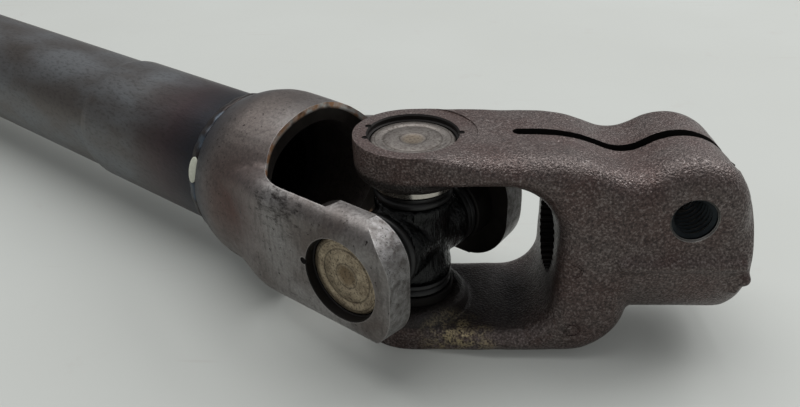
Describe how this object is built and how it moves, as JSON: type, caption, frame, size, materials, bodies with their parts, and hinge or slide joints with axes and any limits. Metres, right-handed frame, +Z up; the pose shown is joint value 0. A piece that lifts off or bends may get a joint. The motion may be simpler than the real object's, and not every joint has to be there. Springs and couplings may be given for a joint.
{
  "type": "intermediate steering shaft",
  "caption": "Steering shaft in two sliding halves, with a needle-bearing universal joint and a slit, splined clamp yoke at each end.",
  "frame": {"origin": "on the surface the shaft lies on, halfway between the two joint centres", "axes": "+Z up from that surface, +X along both clamp yokes' bores, towards the near yoke's open end"},
  "size_m": [0.3604, 0.2312, 0.0426],
  "materials": {
    "forged_steel": "shot-blasted, brown-grey",
    "pressed_steel": "bare, stained and oily",
    "tube_steel": "dark oily grey",
    "weld_steel": "heat-tinted",
    "bearing_steel": "drawn, tarnished",
    "greased_steel": "black with grease",
    "turned_steel": "machined",
    "black_rubber": "matt",
    "nylon": "plain"
  },
  "bodies": {
    "tube": {"outer_tube": "tube_steel", "near_shaft_yoke": "pressed_steel", "near_weld_bead": "weld_steel", "dust_seal": "black_rubber", "near_cup_rear": "bearing_steel", "near_cup_front": "bearing_steel", "near_seal_rear": "black_rubber", "near_seal_front": "black_rubber"},
    "near_trunnions": {"near_cross": "greased_steel"},
    "near_fork": {"near_clamp_yoke": "forged_steel", "near_cup_top": "bearing_steel", "near_cup_bottom": "bearing_steel", "near_seal_top": "black_rubber", "near_seal_bottom": "black_rubber"},
    "slider": {"inner_shaft": "turned_steel", "slide_sleeve": "nylon", "far_shaft_yoke": "pressed_steel", "far_weld_bead": "weld_steel", "far_cup_rear": "bearing_steel", "far_cup_front": "bearing_steel", "far_seal_rear": "black_rubber", "far_seal_front": "black_rubber"},
    "far_trunnions": {"far_cross": "greased_steel"},
    "far_fork": {"far_clamp_yoke": "forged_steel", "far_cup_top": "bearing_steel", "far_cup_bottom": "bearing_steel", "far_seal_top": "black_rubber", "far_seal_bottom": "black_rubber"}
  },
  "joints": [
    {"name": "near_cross_hinge", "type": "hinge", "parent": "tube", "child": "near_trunnions", "pos_m": [0.11916, -0.09111, 0.0213], "axis": [0.6074, 0.7944, 0], "range_deg": [-40, 40]},
    {"name": "near_fork_hinge", "type": "hinge", "parent": "near_trunnions", "child": "near_fork", "pos_m": [0.11916, -0.09111, 0.0213], "axis": [0, 0, 1], "range_deg": [-77.4, 2.6]},
    {"name": "shaft_slide", "type": "slide", "parent": "tube", "child": "slider", "axis": [-0.7944, 0.6074, 0], "range_m": [-0.01, 0.02]},
    {"name": "far_cross_hinge", "type": "hinge", "parent": "slider", "child": "far_trunnions", "pos_m": [-0.11916, 0.09111, 0.0213], "axis": [0.6074, 0.7944, 0], "range_deg": [-40, 40]},
    {"name": "far_fork_hinge", "type": "hinge", "parent": "far_trunnions", "child": "far_fork", "pos_m": [-0.11916, 0.09111, 0.0213], "axis": [0, 0, 1], "range_deg": [-77.4, 2.6]}
  ]
}
